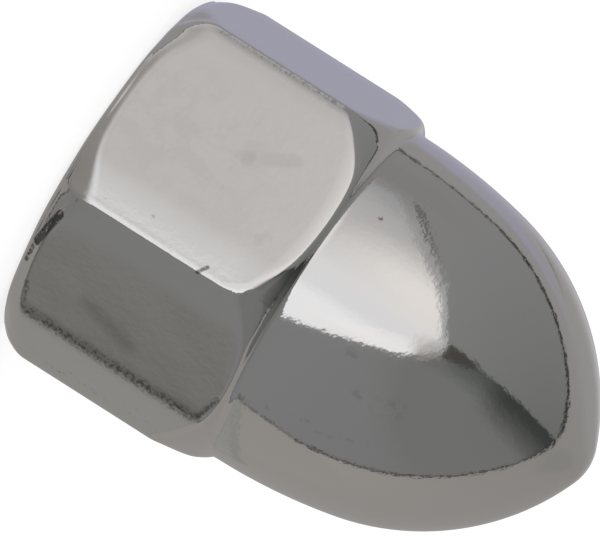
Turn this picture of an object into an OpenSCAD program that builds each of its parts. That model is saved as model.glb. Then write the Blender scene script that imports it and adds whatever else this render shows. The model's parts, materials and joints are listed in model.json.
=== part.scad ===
// High-crown cap nut: a hexagon with rounded corners and turned chamfers at both ends,
// carrying a closed ogive dome over a blind tapped hole.
// The nut stands on its bearing face: origin at the centre of that face, +Z towards the nose.
// All sizes in millimetres.

/* [Hexagon] */
// Width across flats
across_flats = 14; // [13:0.5:18]
// Height of the hexagon, from the bearing face to the shoulder
hex_h = 9; // [7:0.5:11]
// Radius on the six upright edges
edge_r = 1; // [0.5:0.1:1.4]

/* [Bearing end] */
// How far the rim of the bearing face lies inside the flats
face_inset = 0.4; // [0.2:0.05:0.8]
// Angle of the turned chamfer, from the bearing face
face_chamfer = 30; // [25:1:40]
// Radius where that chamfer runs out into the corners
face_round = 1.2; // [0.5:0.1:1.6]

/* [Shoulder] */
// How far the rim of the shoulder lies inside the flats
shoulder_inset = 0.13; // [0.08:0.01:0.3]
// Angle of the shoulder chamfer, from the plane of the shoulder
shoulder_chamfer = 45; // [35:1:50]
// Radius where that chamfer runs out into the corners
shoulder_round = 0.8; // [0.4:0.1:1.2]
// Radius of the hollow between the shoulder and the dome
neck_r = 0.4; // [0.2:0.05:0.6]

/* [Dome] */
// Overall height, from the bearing face to the nose
overall_h = 20.5; // [18.5:0.5:23]
// How far the foot of the dome lies inside the flats
dome_inset = 0.185; // [0.15:0.005:0.4]
// Lean of the dome's lower wall, from upright
lean = 3.75; // [1:0.25:6]
// Height of that lower wall
wall_h = 3; // [1.5:0.25:4]
// Radius of the nose
nose_r = 2.85; // [2:0.05:3.5]

/* [Tapped hole] */
// Nominal diameter of the thread
thread_d = 10; // [6:0.5:10]
// Pitch of the thread
thread_pitch = 1.25; // [1:0.25:1.5]
// Metal left between the drill point and the nose
crown = 3.4; // [3:0.1:5]
// Point angle of the drill
point_angle = 118; // [90:1:140]
// How far the mouth's countersink is wider than the thread, on the diameter
mouth_over = 0.6; // [0.2:0.1:1]
// Full angle of the mouth's countersink
mouth_angle = 120; // [90:1:120]

/* [Hidden] */
$fn = 96;

// neighbouring arcs overlap by this much, so they meet in a clean crossing
over = 0.002;
// the run-out arcs pass this far outside the corners, so each chamfer keeps a crest
crest = 0.15;

// hexagon
flat_r = across_flats / 2;
column_r = (flat_r - edge_r) / cos(30);   // axis of each rounded corner
corner_r = column_r + edge_r;             // reach of a rounded corner

// turned outline of the hexagon
face_r = flat_r - face_inset;
shoulder_r = flat_r - shoulder_inset;
reach = corner_r + crest;

// centre height of an arc of radius r that touches the turned limit and a chamfer line
// rising at angle a from radius rim at height 0
function arc_height(rim, a, r) = (reach - r + r * sin(a) - rim) * tan(a) + r * cos(a);
// the point where that arc meets the chamfer line
function arc_foot(rim, a, r) =
    [reach - r + r * sin(a), (reach - r + r * sin(a) - rim) * tan(a)];

// dome
foot_r = flat_r - dome_inset;
bend_z = hex_h + wall_h;                  // where the lower wall turns into the ogive arc
bend_r = foot_r - wall_h * tan(lean);
nose_z = overall_h - nose_r;
rise = nose_z - bend_z;
// the one radius that runs on from the lower wall and into the nose without a kink
ogive_r = (pow(bend_r, 2) + pow(rise, 2) - pow(nose_r, 2))
        / (2 * (bend_r * cos(lean) - rise * sin(lean) - nose_r));
ogive_c = [bend_r - ogive_r * cos(lean), bend_z - ogive_r * sin(lean)];
// direction from the ogive's centre through the nose's centre, and where the arcs meet
nose_a = atan2(nose_z - ogive_c[1], -ogive_c[0]);
meet = [nose_r * cos(nose_a), nose_z + nose_r * sin(nose_a)];

// neck: an arc touching the dome's lower wall and the shoulder chamfer
slope = 1 / tan(shoulder_chamfer);
neck_dz = (neck_r * (sqrt(1 + slope * slope) - 1 / cos(lean)) + shoulder_r - foot_r)
        / (slope - tan(lean));
neck_c = [foot_r + (neck_r - neck_dz * sin(lean)) / cos(lean), hex_h + neck_dz];
neck_foot = neck_c - neck_r / sqrt(1 + slope * slope) * [1, slope];

// tapped hole, drilled to the thread's minor diameter
bore_r = (thread_d - 1.0825 * thread_pitch) / 2;
tip_z = overall_h - crown;
bore_z = tip_z - bore_r / tan(point_angle / 2);
mouth_r = (thread_d + mouth_over) / 2;
mouth_z = (mouth_r - bore_r) / tan(mouth_angle / 2);

// hexagon with its corners rounded
module hexagon_2d() {
    polygon([for (i = [0:5]) for (s = [-1, 1])
        column_r * [cos(60 * i), sin(60 * i)]
        + edge_r * [cos(60 * i + 30 * s), sin(60 * i + 30 * s)]]);
    for (i = [0:5])
        translate(column_r * [cos(60 * i), sin(60 * i)]) circle(edge_r + over);
}

// half section of the turned limit of the hexagon: both chamfers and their run-outs
module turned_2d() {
    low = arc_foot(face_r, face_chamfer, face_round);
    low_z = arc_height(face_r, face_chamfer, face_round);
    high = arc_foot(shoulder_r, shoulder_chamfer, shoulder_round);
    high_z = arc_height(shoulder_r, shoulder_chamfer, shoulder_round);
    polygon([[0, 0], [face_r, 0], low, [reach, low_z],
             [reach, hex_h - high_z], [high[0], hex_h - high[1]],
             [shoulder_r, hex_h], [0, hex_h]]);
    translate([reach - face_round, low_z]) circle(face_round + over);
    translate([reach - shoulder_round, hex_h - high_z]) circle(shoulder_round + over);
}

// half section of the dome, with its hollow neck and a root inside the hexagon
module dome_2d() {
    root_z = hex_h - 1;
    difference() {
        union() {
            polygon([[0, root_z], [neck_foot[0], root_z], neck_foot, neck_c,
                     neck_c - neck_r * [cos(lean), sin(lean)],
                     [bend_r, bend_z], meet, [0, meet[1]]]);
            intersection() {
                translate(ogive_c) circle(ogive_r + over);
                translate([0, bend_z - 1]) square([across_flats, meet[1] - bend_z + 1]);
            }
            intersection() {
                translate([0, nose_z]) circle(nose_r + 2 * over);
                translate([0, nose_z - nose_r]) square([across_flats, 3 * nose_r]);
            }
        }
        translate(neck_c) circle(neck_r + over);
    }
}

// half section of the drilled hole, countersunk at its mouth
module bore_2d() {
    out = 1;
    polygon([[0, -out], [mouth_r + out * tan(mouth_angle / 2), -out],
             [bore_r, mouth_z], [bore_r, bore_z], [0, tip_z]]);
}

module cap_nut() {
    color([0.74, 0.73, 0.72])
    difference() {
        union() {
            intersection() {
                linear_extrude(hex_h) hexagon_2d();
                rotate_extrude() turned_2d();
            }
            rotate_extrude() dome_2d();
        }
        rotate_extrude() bore_2d();
    }
}

cap_nut();
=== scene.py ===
"""Chrome-plated cap nut, M10 x 1.25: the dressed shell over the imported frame, in a plain studio.

The nut stands on its bearing face at z = 0, with its nose along +Z and its six corners at 0, 60, ... degrees
round the Z axis. Lengths in the dataclasses are millimetres, and meshes are made in metres.
"""

from __future__ import annotations

import json
import logging
import math
from dataclasses import dataclass
from enum import Enum

import bpy
import numpy as np
from mathutils import Matrix, Vector


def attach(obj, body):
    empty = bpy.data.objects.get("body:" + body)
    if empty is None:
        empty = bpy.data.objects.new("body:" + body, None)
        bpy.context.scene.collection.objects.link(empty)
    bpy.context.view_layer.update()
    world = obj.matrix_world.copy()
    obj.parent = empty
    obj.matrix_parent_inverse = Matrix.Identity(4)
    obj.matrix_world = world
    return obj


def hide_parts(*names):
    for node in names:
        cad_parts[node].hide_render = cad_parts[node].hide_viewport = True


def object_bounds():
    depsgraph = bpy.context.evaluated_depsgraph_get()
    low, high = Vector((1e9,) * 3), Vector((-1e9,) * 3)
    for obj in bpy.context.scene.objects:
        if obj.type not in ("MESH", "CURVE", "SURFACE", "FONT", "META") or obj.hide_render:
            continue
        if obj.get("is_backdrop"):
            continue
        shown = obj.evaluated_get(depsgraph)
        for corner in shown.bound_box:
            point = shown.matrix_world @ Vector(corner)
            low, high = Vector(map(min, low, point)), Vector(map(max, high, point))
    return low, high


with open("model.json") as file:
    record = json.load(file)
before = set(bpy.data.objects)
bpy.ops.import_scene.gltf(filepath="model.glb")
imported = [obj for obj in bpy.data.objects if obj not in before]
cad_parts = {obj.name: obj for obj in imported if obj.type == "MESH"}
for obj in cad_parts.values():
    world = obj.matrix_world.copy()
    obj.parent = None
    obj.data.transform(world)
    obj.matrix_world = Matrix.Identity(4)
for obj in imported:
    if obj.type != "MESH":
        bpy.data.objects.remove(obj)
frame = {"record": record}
CAD_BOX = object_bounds()

MM = 0.001
NUT = "cap_nut"
BODY = "root"
WHITE = (1.0, 1.0, 1.0, 1.0)
# a Mix node's sockets for colours
MIX_FROM, MIX_TO, MIX_RESULT = 6, 7, 2

logging.basicConfig(level=logging.INFO, format="%(levelname)s %(message)s")
log = logging.getLogger("cap_nut")


def linear(hex_colour: str) -> tuple[float, float, float, float]:
    """An sRGB hex colour as linear light.

    Args:
        hex_colour: six hex digits, with or without a leading #.

    Returns:
        Red, green, blue and alpha, each 0 to 1.
    """
    digits = hex_colour.lstrip("#")
    levels = (int(digits[i : i + 2], 16) / 255 for i in (0, 2, 4))
    red, green, blue = (v / 12.92 if v <= 0.04045 else ((v + 0.055) / 1.055) ** 2.4 for v in levels)
    return red, green, blue, 1.0


def empty_tree(owner: bpy.types.Material | bpy.types.World) -> bpy.types.NodeTree:
    """Switches a material or a world to nodes and gives back its tree with nothing in it."""
    owner.use_nodes = True
    owner.node_tree.nodes.clear()
    return owner.node_tree


def add_node(
    tree: bpy.types.NodeTree, kind: str, inputs: dict | None = None, **settings: object
) -> bpy.types.Node:
    """Adds one node to a tree.

    Args:
        tree: the node tree.
        kind: the node's type name.
        inputs: input name or number to a plain value, or to the output socket that feeds it.
        **settings: the node's own properties.

    Returns:
        The new node.
    """
    made = tree.nodes.new(kind)
    for name, value in settings.items():
        setattr(made, name, value)
    for key, value in (inputs or {}).items():
        if isinstance(value, bpy.types.NodeSocket):
            tree.links.new(value, made.inputs[key])
        else:
            made.inputs[key].default_value = value
    return made


def direction(azimuth: float, elevation: float) -> np.ndarray:
    """A unit vector from an azimuth from +X towards +Y and an elevation above the floor, in degrees."""
    a, e = math.radians(azimuth), math.radians(elevation)
    return np.array([math.cos(a) * math.cos(e), math.sin(a) * math.cos(e), math.sin(e)])


def around(count: int) -> np.ndarray:
    """Equal steps once round the axis from 0, in radians."""
    return np.arange(count) / count * 2 * math.pi


def smooth_step(value: np.ndarray, low: float, high: float) -> np.ndarray:
    """3t^2 - 2t^3, where t runs from 0 at low to 1 at high."""
    t = np.clip((value - low) / (high - low), 0, 1)
    return t * t * (3 - 2 * t)


def ramp(value: np.ndarray, low: float, high: float) -> np.ndarray:
    """A straight ramp from 0 at low to 1 at high."""
    return np.clip((value - low) / (high - low), 0, 1)


def new_mesh(name: str, points: np.ndarray, faces: list[np.ndarray]) -> bpy.types.Object:
    """Makes a smooth-shaded mesh object at the origin.

    Args:
        name: the object's name.
        points: N x 3 array in metres.
        faces: arrays of vertex numbers, one row per face, outward side anticlockwise.

    Returns:
        The object, linked to the scene.
    """
    mesh = bpy.data.meshes.new(name)
    mesh.from_pydata(points.tolist(), [], [row for block in faces for row in block.tolist()])
    mesh.validate()
    mesh.polygons.foreach_set("use_smooth", np.ones(len(mesh.polygons), dtype=bool))
    made = bpy.data.objects.new(name, mesh)
    bpy.context.scene.collection.objects.link(made)
    return made


# ---------------------------------------------------------------- the nut's shape


class Join(Enum):
    """How two faces meet: on an outside edge the lower radius holds, in an inside corner the higher."""

    EDGE = -1.0
    CORNER = 1.0


@dataclass(frozen=True)
class Rounding:
    """How far polishing has rounded the line where two faces meet, in mm of radius.

    Attributes:
        bend: width of the tight bend itself.
        crowns: how far each of the two faces sinks towards the bend.
        reach: how far from the bend the sinking begins.
    """

    bend: float
    crowns: tuple[float, float] = (0.0, 0.0)
    reach: float = 1.0

    def meet(
        self, one: np.ndarray, other: np.ndarray, how: Join = Join.EDGE, extra: np.ndarray | float = 0.0
    ) -> np.ndarray:
        """Two radii joined into one.

        Each face first loses its crown times max(0, 1 - a / reach)^2, where a^2 = (one - other)^2 +
        (bend/2)^2. With d the difference that is left and h = max(0, 1 - |d| / bend), the lower radius
        then loses bend h^2 / 4. An inside corner is the same, mirrored.

        Args:
            one: radius of one face, mm.
            other: radius of the other face, mm.
            how: outside edge or inside corner.
            extra: width added to the bend, mm.

        Returns:
            The joined radius, mm.
        """
        sign = -how.value
        bend = self.bend + extra
        near = np.maximum(0, 1 - np.hypot(one - other, bend / 2) / self.reach) ** 2
        one, other = (sign * face - crown * near for face, crown in zip((one, other), self.crowns))
        near = np.maximum(0, 1 - np.abs(one - other) / bend)
        return sign * (np.minimum(one, other) - bend * near**2 / 4)


@dataclass(frozen=True)
class Lean:
    """Something the polishing wheel did most on one side of the nut.

    Attributes:
        most: how much of it there is on that side.
        side: that side's direction round the axis, degrees.
    """

    most: float
    side: float

    def at(self, angle: np.ndarray) -> np.ndarray:
        """How much there is at each angle: most times max(0, cos(angle from the side))^4."""
        return self.most * np.maximum(0, np.cos(angle - math.radians(self.side))) ** 4


@dataclass
class Shell:
    """The nut's outside, from the rim of the bearing face over the hexagon and the dome to the nose.

    Every point is a radius from the Z axis, worked out from its angle and height. All lengths in mm.

    Attributes:
        flat: from the axis to each flat.
        hex_height: top of the hexagon.
        face_radius: radius of the base cone at the bearing face.
        face_slope: how much it widens per mm of height.
        face_lip: radius of the lip between the bearing face and the base cone.
        shoulder_radius: radius of the shoulder's cone at the top of the hexagon.
        shoulder_slope: how much it widens per mm downwards.
        shoulder_bulge: how far it swells just under the top, and over what depth.
        shoulder_flare: extra slope of the shoulder.
        shoulder_sink: how far the shoulder was polished inwards.
        shoulder_crown: how far the flats sink towards the shoulder.
        shoulder_bend: width of the bend between flats and shoulder.
        shoulder_reach: how far from that bend the flats begin to sink.
        dome_radius: radius at the dome's foot.
        height: height of the nose.
        face_edge: rounding between the flats and the base cone.
        neck: rounding between the shoulder and the dome.
        tip_bend: extra width of the bends at the six corners' ends.
        tip_span: how far outside the flats that extra width starts and is whole.
        crest_end: extra width of the upright crests where they meet the shoulder.
        crest_span: how far below the hexagon's top that starts and is whole.
        corners: rounding of the six upright crests, from the one on +X anticlockwise.
        arcs: angle at which each of the dome's arcs ends, in degrees, and its radius.
        bands: heights that part the dense rows at both ends of the hexagon from the sparse ones between.
        band_rows: number of row levels in each of those bands.
        lip_rows: rows on the lip.
        dome_rows: rows on each of the dome's arcs and on the nose.
        columns: columns round the axis.
    """

    flat: float = 7.0
    hex_height: float = 9.0
    face_radius: float = 6.62
    face_slope: float = 1.6
    face_lip: float = 1.1
    shoulder_radius: float = 6.96
    shoulder_slope: float = 1.0
    shoulder_bulge: tuple[float, float] = (0.14, 0.2)
    shoulder_flare: Lean = Lean(0.3, -60)
    shoulder_sink: Lean = Lean(0.4, 15)
    shoulder_crown: Lean = Lean(0.055, -100)
    dome_radius: float = 6.809
    height: float = 20.5
    face_edge: Rounding = Rounding(0.65)
    shoulder_bend: float = 0.18
    shoulder_reach: float = 0.8
    neck: Rounding = Rounding(0.12, (0.0, 0.03), 0.45)
    tip_bend: float = 0.8
    tip_span: tuple[float, float] = (0.2, 0.9)
    crest_end: float = 0.5
    crest_span: tuple[float, float] = (2.0, 0.8)
    corners: tuple[Rounding, ...] = (
        Rounding(0.35, (0.12, 0.12), 3.2),
        Rounding(0.30, (0.08, 0.08), 2.0),
        Rounding(0.30, (0.08, 0.08), 2.0),
        Rounding(0.40, (0.08, 0.08), 2.0),
        Rounding(0.40, (0.05, 0.02), 1.0),
        Rounding(0.22, (0.04, 0.19), 2.0),
    )
    arcs: tuple[tuple[float, float], ...] = ((12.2, 22.0), (67.3, 9.41))
    bands: tuple[float, ...] = (0.0, 2.4, 6.6, 9.6)
    band_rows: tuple[int, ...] = (44, 12, 60)
    lip_rows: int = 8
    dome_rows: int = 44
    columns: int = 300

    def angles(self) -> np.ndarray:
        """Column angles in radians, crowded at the corners.

        In each sixth of the round they are 30 deg (t/4 + 3 t^3/4), with t from -1 to 1.
        """
        t = np.arange(self.columns // 6) / (self.columns // 12) - 1
        sixth = math.pi / 6 * (0.25 * t + 0.75 * t**3)
        return (np.arange(6)[:, None] * math.pi / 3 + sixth).ravel()

    def hexagon(self, angle: np.ndarray, z: np.ndarray) -> np.ndarray:
        """Radius of the hexagon.

        Each flat is flat / cos(angle from its middle), and neighbours meet in a corner.
        """
        which = np.round(angle / (math.pi / 3)).astype(int)
        off = angle - which * math.pi / 3
        one, other = (self.flat / np.cos(math.pi / 6 + side * off) for side in (-1, 1))
        start, whole = (self.hex_height - drop for drop in self.crest_span)
        end = smooth_step(z, start, whole) * self.crest_end
        radius = np.zeros_like(angle)
        for number, corner in enumerate(self.corners):
            radius = np.where(which % 6 == number, corner.meet(one, other, extra=end), radius)
        return radius

    def body(self, angle: np.ndarray, z: np.ndarray) -> np.ndarray:
        """Radius of the hexagon with its two turned cones, joined to the foot of the dome.

        Under the neck the dome's wall is led inwards at 2 mm per mm, so that the hexagon holds there.
        """
        face = self.face_radius + self.face_slope * z
        drop = self.hex_height - z
        bulge, depth = self.shoulder_bulge
        bulge = bulge * np.where(drop > 0, 1 - np.exp(-drop / depth), drop / depth)
        slope = self.shoulder_slope + self.shoulder_flare.at(angle)
        shoulder = self.shoulder_radius - self.shoulder_sink.at(angle) + slope * drop + bulge
        crowns = (self.shoulder_crown.at(angle), 0.0)
        shoulder_edge = Rounding(self.shoulder_bend, crowns, self.shoulder_reach)
        radius = self.hexagon(angle, z)
        tip = smooth_step(radius - self.flat, *self.tip_span) * self.tip_bend
        radius = self.face_edge.meet(radius, face, extra=tip)
        radius = shoulder_edge.meet(radius, shoulder, extra=tip)
        dome_r, dome_z = self.dome(per_arc=200)
        wall = np.interp(z, dome_z, dome_r) - 2 * np.maximum(self.hex_height - self.neck.bend / 2 - z, 0)
        return self.neck.meet(radius, wall, Join.CORNER)

    def worn(self, points: np.ndarray) -> np.ndarray:
        """How far the buffing wheel has worn each point: 1 on the hexagon's crests, and less elsewhere.

        A crest's wear is as wide to each side as a third of its rounding's reach, and falls off evenly. The
        edge of the base cone gives 0.8 times as much within 0.6 mm, and the neck's circle 0.6 times as much
        within 0.3 mm. The dome has 0.3 all over.

        Args:
            points: N x 3 array, mm.

        Returns:
            Wear from 0 to 1, one for each point.
        """
        angle = np.arctan2(points[:, 1], points[:, 0])
        which = np.round(angle / (math.pi / 3)).astype(int)
        off = angle - which * math.pi / 3
        width = np.array([corner.reach / 3 for corner in self.corners])[which % 6]
        z = points[:, 2]
        on_side = (z > 0.5) & (z < self.hex_height)
        crest = np.maximum(0, 1 - np.abs(off) * self.flat / width) * on_side
        sharp = self.flat / np.cos(math.pi / 6 - np.abs(off))
        base = np.maximum(0, 1 - np.abs(self.face_radius + self.face_slope * z - sharp) / 0.6)
        neck = np.maximum(0, 1 - np.abs(z - self.hex_height - 0.1) / 0.3)
        return np.max([crest, 0.8 * base, 0.6 * neck, 0.3 * (z > self.hex_height + 0.1)], axis=0)

    def dome(self, per_arc: int) -> tuple[np.ndarray, np.ndarray]:
        """Radius and height up the dome, from its foot to the nose.

        It is a chain of arcs, each tangent to the one before. An arc of radius R that turns from a to b runs
        R (cos b - cos a) inwards and R (sin b - sin a) upwards. The nose is a ball, r / cos b in radius, that
        closes the last arc, and the foot lies as far under the top as the chain is high.

        Args:
            per_arc: rows on each arc and on the nose.

        Returns:
            Radii and heights, mm, the tip itself left out.
        """
        radius, height = np.array([self.dome_radius]), np.array([0.0])
        turned = 0.0
        for until, arc in self.arcs:
            turn = np.linspace(turned, math.radians(until), per_arc)[1:]
            radius = np.r_[radius, radius[-1] + arc * (np.cos(turn) - math.cos(turned))]
            height = np.r_[height, height[-1] + arc * (np.sin(turn) - math.sin(turned))]
            turned = turn[-1]
        ball = radius[-1] / math.cos(turned)
        turn = np.linspace(turned, math.pi / 2, per_arc)[1:]
        radius = np.r_[radius, ball * np.cos(turn)]
        height = np.r_[height, height[-1] + ball * (np.sin(turn) - math.sin(turned))]
        return radius[:-1], (height + self.height - height[-1])[:-1]

    def rows(self) -> tuple[np.ndarray, np.ndarray, np.ndarray]:
        """The whole outside as a grid.

        The lip between the bearing face and the first cone is an arc of radius face_lip through the turn
        between them, t: it starts face_lip tan(t/2) inside the sharp edge.

        Returns:
            Angle, radius and height of every grid point, row by row upwards, in radians and mm.
        """
        angle = self.angles()
        foot, step = self.body(angle, 0 * angle), 0.01
        turn = math.pi / 2 - np.arctan((self.body(angle, 0 * angle + step) - foot) / step)
        bend = np.linspace(0, 1, self.lip_rows)[:, None] * turn
        lip_r = foot - self.face_lip * np.tan(turn / 2) + self.face_lip * np.sin(bend)
        lip_z = self.face_lip * (1 - np.cos(bend))
        spans = zip(self.bands, self.bands[1:], self.band_rows)
        levels = np.r_[0, np.concatenate([np.linspace(low, high, count)[1:] for low, high, count in spans])]
        start = lip_z[-1]
        wall_z = start + (levels[1:, None] / levels[-1]) * (levels[-1] - start)
        wall_r = self.body(angle + 0 * wall_z, wall_z)
        dome_r, dome_z = self.dome(self.dome_rows)
        dome_r, dome_z = dome_r[dome_z > levels[-1]], dome_z[dome_z > levels[-1]]
        ones = np.ones_like(angle)
        radius = np.vstack([lip_r, wall_r, dome_r[:, None] * ones])
        height = np.vstack([lip_z, wall_z, dome_z[:, None] * ones])
        return angle + 0 * radius, radius, height


@dataclass
class TappedHole:
    """The blind hole: countersunk mouth, M10 x 1.25 thread that runs out, and the drill's point.

    Attributes:
        crest: radius of the thread's crests, which is the drilled hole's, mm.
        length: height of the bore's wall at that radius, mm.
        pitch: height of one turn, mm.
        root: radius of the thread's roots, mm.
        mouth: radius of the countersink's rim, mm.
        mouth_angle: full angle of the countersink, degrees.
        run_out: height over which the thread fades out at its upper end, mm.
        point: height of the drill's point, mm.
        columns: columns round the axis.
        per_pitch: rows in one turn.
    """

    crest: float
    length: float
    pitch: float = 1.25
    root: float = 5.0
    mouth: float = 5.3
    mouth_angle: float = 120.0
    run_out: float = 1.3
    point: float = 2.6
    columns: int = 100
    per_pitch: int = 19

    @property
    def mouth_slope(self) -> float:
        """How far the mouth's cone narrows per mm of height."""
        return math.tan(math.radians(self.mouth_angle / 2))

    @property
    def depth(self) -> float:
        """Depth of the full bore: the mouth's cone and the threaded length."""
        return self.length + (self.mouth - self.crest) / self.mouth_slope

    def thread(self, angle: np.ndarray, z: np.ndarray) -> np.ndarray:
        """Radius of the threaded wall.

        The phase z/pitch - angle/turn makes a right-handed helix. The groove's outline is flat for a quarter
        of the pitch at the crest and an eighth at the root, with straight flanks between.

        Args:
            angle: angle round the axis, radians.
            z: height above the bearing face, mm.

        Returns:
            Radius, mm.
        """
        phase = np.abs(np.mod(z / self.pitch - angle / (2 * math.pi), 1) - 0.5)
        groove = 1 - ramp(phase, 1 / 16, 3 / 8)
        fade = 1 - smooth_step(z, self.depth - self.run_out, self.depth)
        return self.crest + (self.root - self.crest) * groove * fade

    def rows(self) -> tuple[np.ndarray, np.ndarray, np.ndarray]:
        """The hole as a grid from the drill's point down to the mouth.

        Returns:
            Angle, radius and height of every grid point, in radians and mm, the tip itself left out.
        """
        angle = around(self.columns)
        turns = int(round(self.depth / self.pitch * self.per_pitch))
        z = np.linspace(self.depth, 0, turns)[:, None] + 0 * angle
        cone = self.mouth - z * self.mouth_slope
        wall = np.maximum(self.thread(angle + 0 * z, z), cone)
        share = np.array([0.12, 0.4, 0.75])[:, None] + 0 * angle  # rows on the drill's point
        radius = np.vstack([self.crest * share, wall])
        height = np.vstack([self.depth + self.point * (1 - share), z])
        return angle + 0 * radius, radius, height


# nearly all of a noise lies between 0.25 and 0.75; a speck's edge is 0.12 wide on that scale
NOISE_LOW = 0.25
NOISE_SPAN = 0.5
SPECK_EDGE = 0.12


@dataclass(frozen=True)
class SmearOrGlint:
    """One mark on the plating, from one point to another: a smudge, scratch, pit or painted glint.

    Attributes:
        start: where it begins, mm.
        end: where it ends, mm.
        reach: how far it goes to each side of that line, mm.
        tint: the plating's colour in it.
        cover: how much of the clean colour it hides.
        grain: size of its specks, mm.
        gap: share of it that stays clean between the specks, from 0 to 1.
        soft: share of its reach over which it fades out.
    """

    start: tuple[float, float, float]
    end: tuple[float, float, float]
    reach: float
    tint: str
    cover: float
    grain: float = 0.5
    gap: float = 0.4
    soft: float = 0.7

    def lay(
        self, tree: bpy.types.NodeTree, place: bpy.types.NodeSocket, colour: bpy.types.NodeSocket
    ) -> bpy.types.NodeSocket:
        """Adds the mark's nodes.

        The nearest point of the line to a place p is start + h (end - start), with h the dot product of
        p - start and (end - start) / |end - start|^2, held between 0 and 1. The mark is full there and fades
        to nothing at its reach, where a noise of its grain is over its gap.

        Args:
            tree: the node tree.
            place: position on the nut, metres.
            colour: colour before the mark.

        Returns:
            The colour with the mark in it.
        """
        start, run = Vector(self.start) * MM, (Vector(self.end) - Vector(self.start)) * MM
        along = run / max(run.length_squared, 1e-12)
        off = add_node(tree, "ShaderNodeVectorMath", {0: place, 1: start}, operation="SUBTRACT").outputs[0]
        h = add_node(tree, "ShaderNodeVectorMath", {0: off, 1: along}, operation="DOT_PRODUCT")
        h = add_node(tree, "ShaderNodeClamp", {"Value": h.outputs["Value"]}).outputs[0]
        step = add_node(tree, "ShaderNodeVectorMath", {0: run, "Scale": h}, operation="SCALE").outputs[0]
        aside = add_node(tree, "ShaderNodeVectorMath", {0: off, 1: step}, operation="SUBTRACT").outputs[0]
        away = add_node(tree, "ShaderNodeVectorMath", {0: aside}, operation="LENGTH").outputs["Value"]
        fade = {"Value": away, "From Min": self.reach * (1 - self.soft) * MM, "From Max": self.reach * MM}
        near = add_node(tree, "ShaderNodeMapRange", {**fade, "To Min": 1.0, "To Max": 0.0}).outputs[0]
        noise = {"Vector": place, "Scale": 1 / (self.grain * MM), "Detail": 3.0, "Roughness": 0.6}
        specks = add_node(tree, "ShaderNodeTexNoise", noise).outputs[0]
        low = NOISE_LOW + self.gap * NOISE_SPAN
        some = {"Value": specks, "From Min": low, "From Max": low + SPECK_EDGE, "To Max": self.cover}
        some = add_node(tree, "ShaderNodeMapRange", some).outputs[0]
        share = add_node(tree, "ShaderNodeMath", {0: near, 1: some}, operation="MULTIPLY").outputs[0]
        tints = {"Factor": share, MIX_FROM: colour, MIX_TO: linear(self.tint)}
        return add_node(tree, "ShaderNodeMix", tints, data_type="RGBA").outputs[MIX_RESULT]


SMEARS_AND_GLINTS = (
    # finger marks on three flats
    SmearOrGlint((-0.3, -7, 5.0), (-0.6, -7, 5.5), 0.36, "9C9D9C", 0.20),
    SmearOrGlint((-0.8, -7, 5.9), (-1.3, -7, 6.7), 0.34, "9C9D9C", 0.16, 0.8, 0.1, 0.5),
    SmearOrGlint((2.05, -7, 7.1), (1.7, -7, 7.5), 0.3, "A3A3A2", 0.16),
    SmearOrGlint((0, -7, 2.0), (0, -7, 4.5), 3.2, "BDBBB9", 0.2, 0.9, 0.4),
    SmearOrGlint((6.1, -3.4, 3.1), (6.35, -2.9, 4.9), 0.55, "84857F", 0.32, 1.0, 0.15, 0.9),
    # scuffed edge of the base cone, with three scratches at its end, tinted white as a painted glint
    SmearOrGlint((4.65, -5.75, 0.75), (5.45, -4.35, 0.38), 0.2, "403F3D", 0.85, 0.12, 0.1, 0.3),
    SmearOrGlint((5.45, -4.3, 0.36), (5.95, -3.5, 0.3), 0.12, "403F3D", 0.75, 0.15, 0.3, 0.5),
    SmearOrGlint((4.65, -5.35, 0.37), (5.05, -4.9, 0.33), 0.04, "6E6C69", 0.7, 0.12, 0.35),
    # the three scratches are real marks, but their white tint is a painted glint, brighter than the plating
    SmearOrGlint((4.65, -5.71, 0.68), (4.47, -5.99, 0.8), 0.035, "FFFFFF", 0.8, 0.3, 0.1),
    SmearOrGlint((4.53, -5.79, 0.64), (4.35, -6.07, 0.76), 0.035, "FFFFFF", 0.8, 0.3, 0.1),
    SmearOrGlint((4.44, -5.9, 0.66), (4.23, -6.14, 0.72), 0.03, "FFFFFF", 0.7, 0.3, 0.1),
    # pitted plating along the lowest crest and round its corner
    SmearOrGlint((6.98, -1.9, 1.1), (7.04, -1.82, 8.0), 0.34, "34352F", 0.6, 0.15, 0.42, 0.8),
    SmearOrGlint((6.98, -1.95, 8.3), (6.4, -2.95, 8.72), 0.17, "474843", 0.6, 0.15, 0.3, 0.8),
    SmearOrGlint((6.95, -1.95, 1.0), (6.4, -2.9, 0.68), 0.13, "474843", 0.6, 0.15, 0.4, 0.8),
    # speck of rust and smudges on the dome
    SmearOrGlint((-1.31, -6.6, 10.3), (-1.31, -6.6, 10.3), 0.13, "6B2A22", 0.9, 0.15, 0.25),
    SmearOrGlint((3.95, -4.8, 13.9), (3.8, -4.85, 14.4), 0.5, "A5A6A5", 0.40),
    SmearOrGlint((3.21, -5.76, 12.0), (3.25, -5.7, 12.2), 0.25, "A5A6A5", 0.35, 0.3),
    SmearOrGlint((4.08, -5.0, 12.9), (4.12, -4.95, 13.1), 0.2, "9D9FA1", 0.35, 0.3),
    SmearOrGlint((5.82, -3.45, 10.3), (5.5, -3.7, 11.9), 0.12, "A5A6A5", 0.35, 0.25, 0.5),
    SmearOrGlint((5.6, -3.4, 12.3), (5.0, -3.7, 14.1), 0.12, "9D9FA1", 0.35, 0.25, 0.5),
    # nick in the lower crest and pits in the front flat
    SmearOrGlint((4.1, -6.79, 6.12), (3.78, -6.87, 6.33), 0.1, "6A6967", 0.9, 0.3, 0.1, 0.6),
    SmearOrGlint((3.69, -7, 1.95), (3.69, -7, 1.95), 0.14, "5A5A58", 0.8, 0.2, 0.2),
    SmearOrGlint((3.3, -7, 3.7), (3.3, -7, 3.7), 0.12, "62625F", 0.7, 0.2, 0.2),
)


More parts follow.
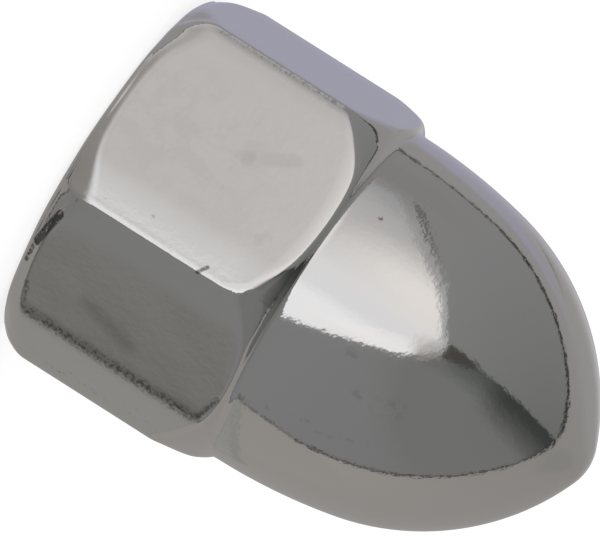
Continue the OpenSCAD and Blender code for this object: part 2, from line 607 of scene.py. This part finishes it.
@dataclass(frozen=True)
class ChromePlate:
    """Decorative chrome over nickel on polished steel.

    Chrome mirrors sharply, a little darker than silver. The buffing wheel leaves the steel under it faintly
    uneven, most of all where it rounded the edges over, so mirrored edges come out ragged. Handling has left
    dull smudges, a scuff on the base cone, a nick and a speck of rust, and the plating is pitted along one
    crest. Plating hardly reaches the bore, which stays greyer and satin.

    Attributes:
        colour: the open plating's colour.
        bore_colour: colour in the bore.
        roughness: the open plating's roughness.
        bore_roughness: roughness in the bore.
        grain_mm: size of the unevenness left by buffing.
        grain_height_mm: its height on the open faces.
        worn_height_mm: what full wear adds to that height.
        swell_mm: length of the gentle waves under it.
        swell_height_mm: their height.
    """

    colour: str = "D4D2D0"
    bore_colour: str = "A9A49C"
    roughness: float = 0.07
    bore_roughness: float = 0.32
    grain_mm: float = 0.32
    grain_height_mm: float = 0.0012
    worn_height_mm: float = 0.011
    swell_mm: float = 1.6
    swell_height_mm: float = 0.004

    def material(self) -> bpy.types.Material:
        """Builds the node material."""
        made = bpy.data.materials.new("chrome_plate")
        tree = empty_tree(made)
        place = add_node(tree, "ShaderNodeTexCoord").outputs["Object"]
        bore = add_node(tree, "ShaderNodeAttribute", attribute_name="bore").outputs["Fac"]
        worn = add_node(tree, "ShaderNodeAttribute", attribute_name="worn").outputs["Fac"]
        plates = {"Factor": bore, MIX_FROM: linear(self.colour), MIX_TO: linear(self.bore_colour)}
        colour = add_node(tree, "ShaderNodeMix", plates, data_type="RGBA").outputs[MIX_RESULT]
        for mark in SMEARS_AND_GLINTS:
            colour = mark.lay(tree, place, colour)
        rough = {"Value": bore, "To Min": self.roughness, "To Max": self.bore_roughness}
        rough = add_node(tree, "ShaderNodeMapRange", rough).outputs[0]
        swell = {"Vector": place, "Scale": 1 / (self.swell_mm * MM), "Detail": 0.0}
        swell = add_node(tree, "ShaderNodeTexNoise", swell).outputs[0]
        waves = {"Height": swell, "Distance": self.swell_height_mm * MM, "Strength": 1.0}
        waves = add_node(tree, "ShaderNodeBump", waves).outputs[0]
        grain = {"Vector": place, "Scale": 1 / (self.grain_mm * MM), "Detail": 2.0, "Roughness": 0.6}
        grain = add_node(tree, "ShaderNodeTexNoise", grain).outputs[0]
        times = {0: worn, 1: self.worn_height_mm / self.grain_height_mm, 2: 1.0}
        times = add_node(tree, "ShaderNodeMath", times, operation="MULTIPLY_ADD").outputs[0]
        height = add_node(tree, "ShaderNodeMath", {0: times, 1: grain}, operation="MULTIPLY").outputs[0]
        bump = {"Height": height, "Distance": self.grain_height_mm * MM, "Strength": 1.0, "Normal": waves}
        bump = add_node(tree, "ShaderNodeBump", bump).outputs[0]
        metal = {"Base Color": colour, "Metallic": 1.0, "Roughness": rough, "Normal": bump}
        shader = add_node(tree, "ShaderNodeBsdfPrincipled", metal).outputs[0]
        add_node(tree, "ShaderNodeOutputMaterial", {"Surface": shader})
        return made


@dataclass
class CapNut:
    """The whole nut: one closed skin from the drill's point, out over the bearing face, up to the nose."""

    shell: Shell
    hole: TappedHole
    plate: ChromePlate
    name: str = "cap_nut_plated"

    def build(self) -> bpy.types.Object:
        """Makes the mesh and its finish.

        Returns:
            The nut's object, riding on its body in the CAD node's place.
        """
        inner = self.hole.rows()
        outer = self.with_bearing_ring(*self.shell.rows())
        skin, bore_points = self.stitch(inner, outer)
        nut = new_mesh(self.name, *skin)
        points = skin[0] / MM
        in_bore = np.arange(len(points)) < bore_points
        for label, share in (("bore", in_bore), ("worn", np.where(in_bore, 0, self.shell.worn(points)))):
            layer = nut.data.attributes.new(label, "FLOAT", "POINT")
            layer.data.foreach_set("value", share.astype(np.float32))
        nut.data.materials.append(self.plate.material())
        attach(nut, BODY)
        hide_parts(NUT)
        return nut

    def with_bearing_ring(
        self, angle: np.ndarray, radius: np.ndarray, height: np.ndarray
    ) -> tuple[np.ndarray, np.ndarray, np.ndarray]:
        """Puts the flat bearing ring under the shell's rows.

        The ring's columns even out from the shell's crowded angles to equal steps at the hole's mouth.

        Args:
            angle: angles of the shell's grid.
            radius: its radii.
            height: its heights.

        Returns:
            The longer grid.
        """
        steps = (0.06, 0.35, 0.65, 0.9)
        share = np.array(steps)[:, None]
        even = around(self.shell.columns) - math.pi / 6
        ring_r = self.hole.mouth + share * (radius[0] - self.hole.mouth)
        ring_a = even + smooth_step(share, steps[0], steps[-1]) * (angle[0] - even)
        return np.vstack([ring_a, angle]), np.vstack([ring_r, radius]), np.vstack([0 * ring_r, height])

    def stitch(
        self, inner: tuple[np.ndarray, ...], outer: tuple[np.ndarray, ...]
    ) -> tuple[tuple[np.ndarray, list[np.ndarray]], int]:
        """Joins the hole's grid and the shell's into one closed skin.

        Rows run from the drill's point to the nose, and columns anticlockwise, so each cell
        (i, j), (i, j+1), (i+1, j+1), (i+1, j) faces outwards. At the mouth each of the hole's columns
        meets as many of the shell's as their numbers divide into. The shell's columns start half a sixth
        before +X and the hole's on it, which is the shift between them.

        Args:
            inner: angle, radius and height of the hole's grid.
            outer: the same for the shell with its bearing ring.

        Returns:
            Points in metres with the face arrays, and how many of the first points are in the hole.
        """
        blocks, tops = [np.array([[0, 0, self.hole.depth + self.hole.point]])], []
        count = 1
        for angle, radius, height in (inner, outer):
            grid = np.stack([radius * np.cos(angle), radius * np.sin(angle), height], -1).reshape(-1, 3)
            tops.append((count, *angle.shape))
            blocks.append(grid)
            count += len(grid)
        blocks.append(np.array([[0, 0, self.shell.height]]))
        faces = [cells(*top) for top in tops]
        first, rows_in, cols_in = tops[0]
        second, rows_out, cols_out = tops[1]
        j = np.arange(cols_in)
        faces.append(np.stack([0 * j, first + (j + 1) % cols_in, first + j], -1))
        last = second + (rows_out - 1) * cols_out
        k = np.arange(cols_out)
        faces.append(np.stack([last + k, last + (k + 1) % cols_out, 0 * k + count], -1))
        rim = first + (rows_in - 1) * cols_in
        each, shift = cols_out // cols_in, cols_out // 12
        after = second + (each * (j + 1) + shift) % cols_out
        faces.append(np.stack([rim + j, rim + (j + 1) % cols_in, after], -1))
        for part in range(each):
            a = second + (each * j + part + shift) % cols_out
            b = second + (each * j + part + 1 + shift) % cols_out
            faces.append(np.stack([rim + j, b, a], -1))
        points = np.vstack(blocks) * MM
        return (points, faces), second


def cells(first: int, rows: int, columns: int) -> np.ndarray:
    """Four-cornered faces of a grid that closes on itself along its rows.

    Args:
        first: number of the grid's first vertex.
        rows: number of rows.
        columns: number of columns.

    Returns:
        One row of four vertex numbers per face.
    """
    i, j = np.meshgrid(np.arange(rows - 1), np.arange(columns), indexing="ij")
    after = (j + 1) % columns
    low, high = i * columns, (i + 1) * columns
    return first + np.stack((low + j, low + after, high + after, high + j), -1).reshape(-1, 4)


# ---------------------------------------------------------------- the studio


def degrees_off(looks: np.ndarray, azimuth: float, elevation: float) -> np.ndarray:
    """Angle from each unit vector of looks to one direction, in degrees."""
    return np.degrees(np.arccos(np.clip(looks @ direction(azimuth, elevation), -1, 1)))


@dataclass(frozen=True)
class RoundEdge:
    """A round opening in the tent, seen from its middle: everything near one direction. All in degrees.

    Attributes:
        azimuth: that direction's azimuth.
        elevation: that direction's elevation.
        reach: how far from it the opening goes; at about 90 its edge is a straight line.
        soft: half the width of the edge's soft step.
    """

    azimuth: float
    elevation: float
    reach: float
    soft: float = 0.6

    def inside(self, looks: np.ndarray) -> np.ndarray:
        """1 inside the opening, 0 outside, with a soft step between."""
        away = degrees_off(looks, self.azimuth, self.elevation)
        return 1 - smooth_step(away, self.reach - self.soft, self.reach + self.soft)


@dataclass(frozen=True)
class Cloth:
    """One cloth or card of the tent, shaded from one side to the other.

    Attributes:
        edges: openings that it lies inside of, all at once.
        azimuth: direction that the shades are counted from, degrees.
        elevation: the same direction's elevation, degrees.
        shades: angle from that direction, in degrees, and colour there.
        strength: how much of what lies under it is covered.
    """

    edges: tuple[RoundEdge, ...]
    azimuth: float
    elevation: float
    shades: tuple[tuple[float, str], ...]
    strength: float = 1.0

    def cover(self, under: np.ndarray, looks: np.ndarray) -> np.ndarray:
        """The colours under the cloth, with the cloth laid over them."""
        away = degrees_off(looks, self.azimuth, self.elevation)
        where = [angle for angle, _ in self.shades]
        tints = np.array([linear(tint)[:3] for _, tint in self.shades])
        own = np.stack([np.interp(away, where, tints[:, k]) for k in range(3)], -1)
        share = np.full(len(looks), self.strength)
        for edge in self.edges:
            share = share * edge.inside(looks)
        return under + (own - under) * share[:, None]


# directions as azimuth and elevation, degrees; the last three are right, up and forward as the camera
# looks, before its roll
UP = (0.0, 90.0)
DOWN = (0.0, -90.0)
LOWER = (19.8, 0.0)
UPWARD = (109.8, 81.2)
AWAY = (109.8, -8.8)
# where the room ends at the table, and the straight border of the shadow over the nose
HORIZON = RoundEdge(-84.8, -4.8, 104.7)
WEDGE = RoundEdge(3, 6, 90, 0.8)


@dataclass
class Studio:
    """A white floor and background, and the tent of cloths that the chrome mirrors.

    Attributes:
        tent_radius: radius of the tent, metres.
        tent_middle: height of its middle, that of the nut's, metres.
        tent_grid: its rows and columns.
        mirror: how much of a cloth's light the plating gives back.
        floor_radius: radius of the floor, metres.
        floor_glow: light that the floor gives by itself.
        floor_grey: grey of its paper under the room's light.
        fill: strength of the room's light.
    """

    tent_radius: float = 0.6
    tent_middle: float = 0.01
    tent_grid: tuple[int, int] = (540, 1080)
    mirror: float = 0.66
    floor_radius: float = 0.3
    floor_glow: float = 0.78
    floor_grey: float = 0.28
    fill: float = 0.95

    def cloths(self) -> tuple[Cloth, ...]:
        """The tent's cloths from the outermost in, colours as the chrome shows them."""
        return *self.table_side(), *self.room_side(), *self.window_side(), *self.edges()

    def table_side(self) -> tuple[Cloth, ...]:
        """The table all round, the lavender paper behind the nut and the dull ceiling over it."""
        paper = ((90, "91909E"), (180, "8C8C98"))
        crease = (
            RoundEdge(-69, -29.5, 142.9, 0.3),
            RoundEdge(111, 29.5, 38.7, 0.3),
            RoundEdge(155, 0, 14, 6),
        )
        return (
            # table
            Cloth((), *LOWER, ((0, "908E8B"), (80, "868482"), (180, "8A8B8C"))),
            # paper, and its lower end
            Cloth((RoundEdge(-69, -29.5, 142, 1), RoundEdge(133, 13, 27, 1.5)), *LOWER, paper),
            Cloth((RoundEdge(127, -16, 16, 4),), *LOWER, paper),
            # pale patch over the paper
            Cloth((RoundEdge(130, 24, 26, 8),), *AWAY, ((16, "A8A7A9"), (28, "969596"), (38, "8D8C8B"))),
            # dull ceiling
            Cloth((RoundEdge(88, 67, 10, 4),), *LOWER, ((0, "7D7D7D"),), 0.5),
            # crease along the paper's edge
            Cloth(crease, *LOWER, ((0, "4A4852"),), 0.6),
        )

    def room_side(self) -> tuple[Cloth, ...]:
        """The dim room behind the camera, with the shadows over the nose."""
        low = (HORIZON, RoundEdge(*LOWER, 88, 5))
        left = (HORIZON, RoundEdge(-125, -70, 40, 25))
        wedge = (WEDGE.azimuth, WEDGE.elevation)
        shadow = ((72, "6E706F"), (84, "535756"), (91, "4A4D4C"))
        core = ((66, "6C6E6D"), (76, "525453"), (84, "3B3E3D"), (91, "353737"))
        return (
            # room, its lower side and its floor on the left
            Cloth((HORIZON,), *UPWARD, ((0, "686968"), (80, "7B7C7D"), (120, "858381"))),
            Cloth(low, *UPWARD, ((0, "68696A"), (98, "777879"), (180, "717171"))),
            Cloth(left, *LOWER, ((60, "797673"), (115, "8A8886"), (180, "7D7B79"))),
            # shadow over the nose, and its core
            Cloth((HORIZON, WEDGE, RoundEdge(-85, 75, 62, 8)), *wedge, shadow),
            Cloth((HORIZON, WEDGE, RoundEdge(-85, 84, 26, 9)), *wedge, core),
        )

    def window_side(self) -> tuple[Cloth, ...]:
        """The window with its hem, its brightest spot and what cuts into its corners."""
        sill = RoundEdge(-120, -34, 70.4, 0.8)
        opening = (HORIZON, RoundEdge(-12, -63, 107.2, 1), sill, RoundEdge(*UPWARD, 130, 28))
        lower = (*opening, RoundEdge(*DOWN, 81.3, 1.2))
        hem = (HORIZON, RoundEdge(-12, -63, 110.4, 0.9), sill, RoundEdge(-95, 12, 55, 12))
        border = (RoundEdge(-12, -63, 111.2, 0.3), RoundEdge(168, 63, 69.6, 0.3), RoundEdge(-146, 3, 14, 6))
        cut = (HORIZON, RoundEdge(113.6, -44.3, 89.5, 1.5), RoundEdge(*UP, 99), RoundEdge(-160, -4, 16, 3))
        tip = (
            RoundEdge(3, 6, 91.6, 0.5),
            RoundEdge(-159, -18.5, 90),
            RoundEdge(*UP, 60, 1),
            RoundEdge(*DOWN, 136, 2),
        )
        glass = (
            (88, "E4E5E8"),
            (95, "D6D7DA"),
            (109, "D5D5D7"),
            (133, "B6B5B5"),
            (154, "A9A8A9"),
            (169, "939597"),
        )
        low_glass = (
            (20, "737372"),
            (72, "DFDFDF"),
            (104, "DFE1E4"),
            (116, "C5C5C6"),
            (128, "B5B3B2"),
            (169, "989898"),
        )
        return (
            # hem, and the dark border outside it
            Cloth(hem, *LOWER, ((90, "B4B4B4"), (150, "969696"))),
            Cloth(border, *LOWER, ((0, "2E2E2C"),), 0.85),
            # window, its lower half and its bright rail
            Cloth(opening, *LOWER, glass),
            Cloth(lower, *LOWER, low_glass),
            Cloth(
                (*opening, RoundEdge(60, 34, 117, 1), RoundEdge(-68, 10, 16, 4)),
                *LOWER,
                ((70, "DEDEDE"), (85, "E8E8E9"), (104, "DCDCDE")),
            ),
            # what stands before its left corner
            Cloth(cut, -120, 0, ((28, "8F8D8D"), (40, "7D7C7C"))),
            # glow of the sky
            Cloth((*opening, RoundEdge(-106, 13.5, 15, 13)), *LOWER, ((0, "E0DDDA"),), 0.9),
            # dim gap over the sill, and the dark tip beside it
            Cloth(
                (RoundEdge(-79, 26, 8.5, 3.5),),
                sill.azimuth,
                sill.elevation,
                ((65, "BEBCBC"), (71, "9E9C9B"), (75.5, "6A6867")),
                0.9,
            ),
            Cloth(tip, *LOWER, ((0, "42403D"),), 0.9),
        )

    def edges(self) -> tuple[Cloth, ...]:
        """The dark seam along the horizon and the table's near edge."""
        rim = RoundEdge(-84.8, -4.8, 105.4, 0.4)
        thick = (
            RoundEdge(-84.8, -4.8, 105.6, 0.4),
            RoundEdge(95.2, 4.8, 76.8, 0.5),
            RoundEdge(168, 40, 34, 8),
        )
        near = (RoundEdge(*DOWN, 83.2), RoundEdge(*LOWER, 55))
        seam = ((0, "242422"),)
        brink = ((90, "464842"), (92.5, "676764"), (94, "757572"))
        return (
            # seam, and its thicker stretch overhead
            Cloth((rim, RoundEdge(95.2, 4.8, 76.2, 0.5)), *LOWER, seam, 0.85),
            Cloth(thick, *LOWER, seam, 0.9),
            # seam round the table's far corner, and the corner in it
            Cloth((rim, RoundEdge(35, -12, 21.2, 0.4)), *LOWER, seam, 0.85),
            Cloth((RoundEdge(35, -12, 20.3, 0.5),), *LOWER, ((0, "8D8B88"),)),
            # the table's dark near brink, and its top behind that
            Cloth((RoundEdge(103.5, 0, 94, 2), *near), 103.5, 0, brink),
            Cloth((RoundEdge(103.5, 0, 90, 0.7), *near), *LOWER, ((0, "898885"),)),
        )

    def tent(self) -> bpy.types.Object:
        """The tent: a sphere of cloths that only mirror rays see.

        Point (i, j) of the grid is radius (cos e cos a, cos e sin a, sin e), with elevation e by rows and
        azimuth a by columns. Its colour is what the cloths show there, divided by the chrome's own
        brightness, so that the nut shows the colours as written.

        Returns:
            The tent's object.
        """
        rows, columns = self.tent_grid
        e, a = np.meshgrid(
            np.linspace(-math.pi / 2, math.pi / 2, rows + 2)[1:-1], around(columns), indexing="ij"
        )
        look = np.stack([np.cos(e) * np.cos(a), np.cos(e) * np.sin(a), np.sin(e)], -1).reshape(-1, 3)
        look = np.vstack([look, [[0, 0, -1], [0, 0, 1]]])
        bottom, top = len(look) - 2, len(look) - 1
        k = np.arange(columns)
        after, last = (k + 1) % columns, (rows - 1) * columns
        faces = [
            cells(0, rows, columns)[:, ::-1],
            np.stack([0 * k + bottom, k, after], -1),
            np.stack([0 * k + top, last + after, last + k], -1),
        ]
        middle = np.array([0, 0, self.tent_middle])
        tent = new_mesh("studio_tent", middle + look * self.tent_radius, faces)
        light = np.zeros((len(look), 3))
        for cloth in self.cloths():
            light = cloth.cover(light, look)
        shades = tent.data.color_attributes.new("cloth", "FLOAT_COLOR", "POINT")
        rgba = np.ones((len(look), 4), dtype=np.float32)
        rgba[:, :3] = light / self.mirror
        shades.data.foreach_set("color", rgba.ravel())
        made = bpy.data.materials.new("tent_cloth")
        made.cycles.emission_sampling = "NONE"
        tree = empty_tree(made)
        seen = add_node(tree, "ShaderNodeAttribute", attribute_name="cloth").outputs["Color"]
        glow = add_node(tree, "ShaderNodeEmission", {"Color": seen, "Strength": 1.0})
        add_node(tree, "ShaderNodeOutputMaterial", {"Surface": glow.outputs[0]})
        tent.data.materials.append(made)
        tent.visible_camera = tent.visible_diffuse = tent.visible_shadow = False
        tent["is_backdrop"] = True
        return tent

    def floor(self) -> bpy.types.Object:
        """The white floor: a disc at z = 0, lit mostly by itself and partly by the room, clear from below."""
        k = around(96)
        ring = np.stack([np.cos(k), np.sin(k), 0 * k], -1) * self.floor_radius
        floor = new_mesh("floor", ring, [np.arange(len(k))[None]])
        made = bpy.data.materials.new("floor_paper")
        tree = empty_tree(made)
        own = add_node(tree, "ShaderNodeEmission", {"Color": WHITE, "Strength": self.floor_glow})
        paper = add_node(tree, "ShaderNodeBsdfDiffuse", {"Color": (*[self.floor_grey] * 3, 1)})
        both = add_node(tree, "ShaderNodeAddShader", {0: own.outputs[0], 1: paper.outputs[0]})
        clear = add_node(tree, "ShaderNodeBsdfTransparent")
        under = add_node(tree, "ShaderNodeNewGeometry").outputs["Backfacing"]
        mixed = add_node(tree, "ShaderNodeMixShader", {0: under, 1: both.outputs[0], 2: clear.outputs[0]})
        add_node(tree, "ShaderNodeOutputMaterial", {"Surface": mixed.outputs[0]})
        floor.data.materials.append(made)
        floor.visible_glossy = False
        floor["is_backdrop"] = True
        return floor

    def world(self) -> None:
        """White behind everything for camera, mirror and glass rays, and even light for all others."""
        world = bpy.data.worlds.new("studio_white")
        tree = empty_tree(world)
        ray = add_node(tree, "ShaderNodeLightPath").outputs
        seen = ray["Is Camera Ray"]
        for kind in ("Is Glossy Ray", "Is Transmission Ray"):
            seen = add_node(tree, "ShaderNodeMath", {0: seen, 1: ray[kind]}, operation="MAXIMUM").outputs[0]
        back = add_node(tree, "ShaderNodeBackground", {"Color": WHITE, "Strength": 1.0}).outputs[0]
        fill = add_node(tree, "ShaderNodeBackground", {"Color": WHITE, "Strength": self.fill}).outputs[0]
        both = add_node(tree, "ShaderNodeMixShader", {0: seen, 1: fill, 2: back}).outputs[0]
        add_node(tree, "ShaderNodeOutputWorld", {"Surface": both})
        bpy.context.scene.world = world

    def build(self) -> None:
        """Sets up floor, tent and world."""
        self.floor()
        self.tent()
        self.world()


@dataclass
class Camera:
    """A long lens, rolled so that the nut's nose points right and down.

    Attributes:
        azimuth: where the camera stands round the nut, degrees from +X.
        elevation: how high it stands above the floor, degrees.
        roll: angle from the view's level down to the nut's axis, degrees.
        target: the point in the middle of the view, mm.
        wide: what the view's width takes in at the target, mm.
        lens: focal length, mm.
    """

    azimuth: float = -70.15
    elevation: float = 8.8
    roll: float = 32.36
    target: tuple[float, float, float] = (-0.469, -0.169, 7.921)
    wide: float = 21.352
    lens: float = 1000.0

    def build(self) -> bpy.types.Object:
        """Makes the camera and gives it to the scene."""
        data = bpy.data.cameras.new("camera")
        data.lens = self.lens
        camera = bpy.data.objects.new("camera", data)
        bpy.context.scene.collection.objects.link(camera)
        back = Vector(direction(self.azimuth, self.elevation))
        along = Vector((0, 0, 1)) - back * back.z
        along.normalize()
        across = back.cross(along)
        r = math.radians(self.roll)
        right = along * math.cos(r) + across * math.sin(r)
        up = back.cross(right)
        distance = self.wide * MM * self.lens / data.sensor_width
        place = Vector(self.target) * MM + back * distance
        turn = Matrix((right, up, back)).transposed().to_4x4()
        camera.matrix_world = Matrix.Translation(place) @ turn
        data.clip_start, data.clip_end = distance * 0.2, distance * 4
        bpy.context.scene.camera = camera
        return camera


def write_sizes() -> None:
    boxes = {"cad": CAD_BOX, "visual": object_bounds()}
    for name, box in boxes.items():
        log.info("%s box mm %s", name, [[round(v / MM, 3) for v in corner] for corner in box])


def main() -> None:
    """Builds the studio, the camera and the nut."""
    scene = bpy.context.scene
    scene.view_settings.view_transform = "Standard"
    Studio().build()
    Camera().build()
    thread = next(mount for mount in frame["record"]["mounts"] if mount["kind"] == "threaded_hole")
    hole = TappedHole(crest=thread["dims"]["r_mm"], length=thread["dims"]["length_mm"])
    nut = CapNut(Shell(), hole, ChromePlate()).build()
    log.info("%s: %d faces", nut.name, len(nut.data.polygons))
    write_sizes()


if __name__ == "__main__":
    main()
